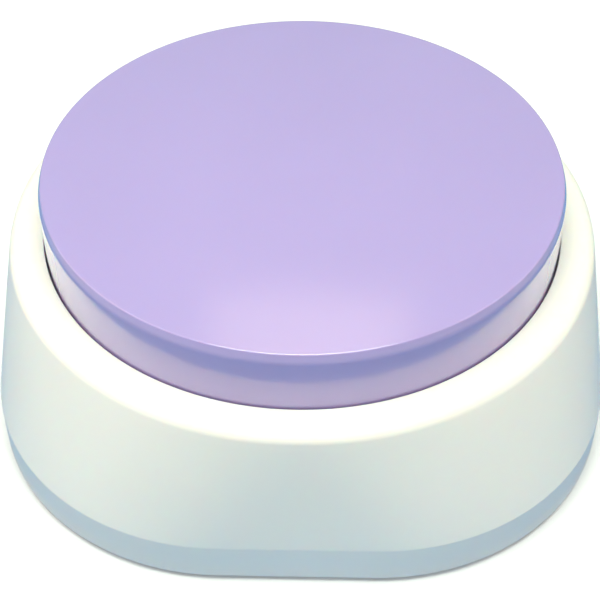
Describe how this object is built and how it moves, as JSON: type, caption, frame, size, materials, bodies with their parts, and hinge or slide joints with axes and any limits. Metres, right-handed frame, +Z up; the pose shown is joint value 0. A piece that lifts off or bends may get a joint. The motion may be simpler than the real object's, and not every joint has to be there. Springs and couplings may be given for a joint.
{
  "type": "quiz buzzer",
  "caption": "Tabletop quiz buzzer: a wide round sprung push button in a white housing that spreads to a rounded square foot, with battery door, speaker and switch underneath.",
  "frame": {"origin": "on the table, under the middle of the buzzer, at the bottom of the rubber feet", "axes": "+Z up, -Y towards the player (the side with the speaker underneath), +X to the player's right"},
  "size_m": [0.09, 0.09, 0.038],
  "materials": {
    "lilac_plastic": "glossy moulded ABS, pastel lilac",
    "white_plastic": "semi-gloss moulded ABS, warm white",
    "white_plastic_base": "fine spark-eroded texture, warm white",
    "screw_steel": "zinc-plated",
    "spring_steel": "bright drawn wire and nickel-plated strip",
    "cell_jacket": "printed film jacket, plain teal",
    "board_green": "solder mask on glass-fibre board",
    "black_resin": "potting resin",
    "component_body": "moulded and ceramic component bodies",
    "capacitor_sleeve": "shrunk sleeve",
    "silicone_rubber": "translucent silicone",
    "speaker_steel": "pressed and plated",
    "ferrite": "sintered, dull",
    "speaker_film": "formed film",
    "foot_rubber": "soft grey rubber",
    "black_plastic": "moulded",
    "red_wire": "PVC insulation",
    "black_wire": "PVC insulation",
    "blue_wire": "PVC insulation"
  },
  "bodies": {
    "housing": {"upper_housing": "white_plastic", "bottom_cover": "white_plastic_base", "battery_front": "cell_jacket", "battery_back": "cell_jacket", "contact_bridge": "spring_steel", "contact_negative": "spring_steel", "contact_positive": "spring_steel", "circuit_board": "board_green", "sound_chip": "black_resin", "board_components": "component_body", "capacitor": "capacitor_sleeve", "rubber_dome": "silicone_rubber", "return_spring_1": "spring_steel", "return_spring_2": "spring_steel", "return_spring_3": "spring_steel", "return_spring_4": "spring_steel", "speaker_frame": "speaker_steel", "speaker_magnet": "ferrite", "speaker_cone": "speaker_film", "speaker_clamp_ring": "white_plastic_base", "speaker_screws": "screw_steel", "housing_screws": "screw_steel", "board_screws": "screw_steel", "rubber_feet": "foot_rubber", "power_switch_body": "speaker_steel", "speaker_wires": "red_wire", "battery_wires": "black_wire", "switch_wires": "blue_wire"},
    "button": {"push_cap": "lilac_plastic"},
    "door": {"battery_door": "white_plastic_base", "battery_door_screw": "screw_steel"},
    "switch": {"power_switch_knob": "black_plastic"}
  },
  "joints": [
    {"name": "cap_press", "type": "slide", "parent": "housing", "child": "button", "axis": [0, 0, -1], "range_m": [0, 0.0025], "stiffness_N_per_m": 1000, "springref_m": -0.0025, "deforming": ["return_spring_1", "return_spring_2", "return_spring_3", "return_spring_4", "rubber_dome"]},
    {"name": "battery_door_swing", "type": "hinge", "parent": "housing", "child": "door", "pos_m": [-0.0266, 0.013, 0.0016], "axis": [0, 1, 0], "range_deg": [0, 60]},
    {"name": "power_switch_slide", "type": "slide", "parent": "housing", "child": "switch", "axis": [0, 1, 0], "range_m": [0, 0.002]}
  ]
}
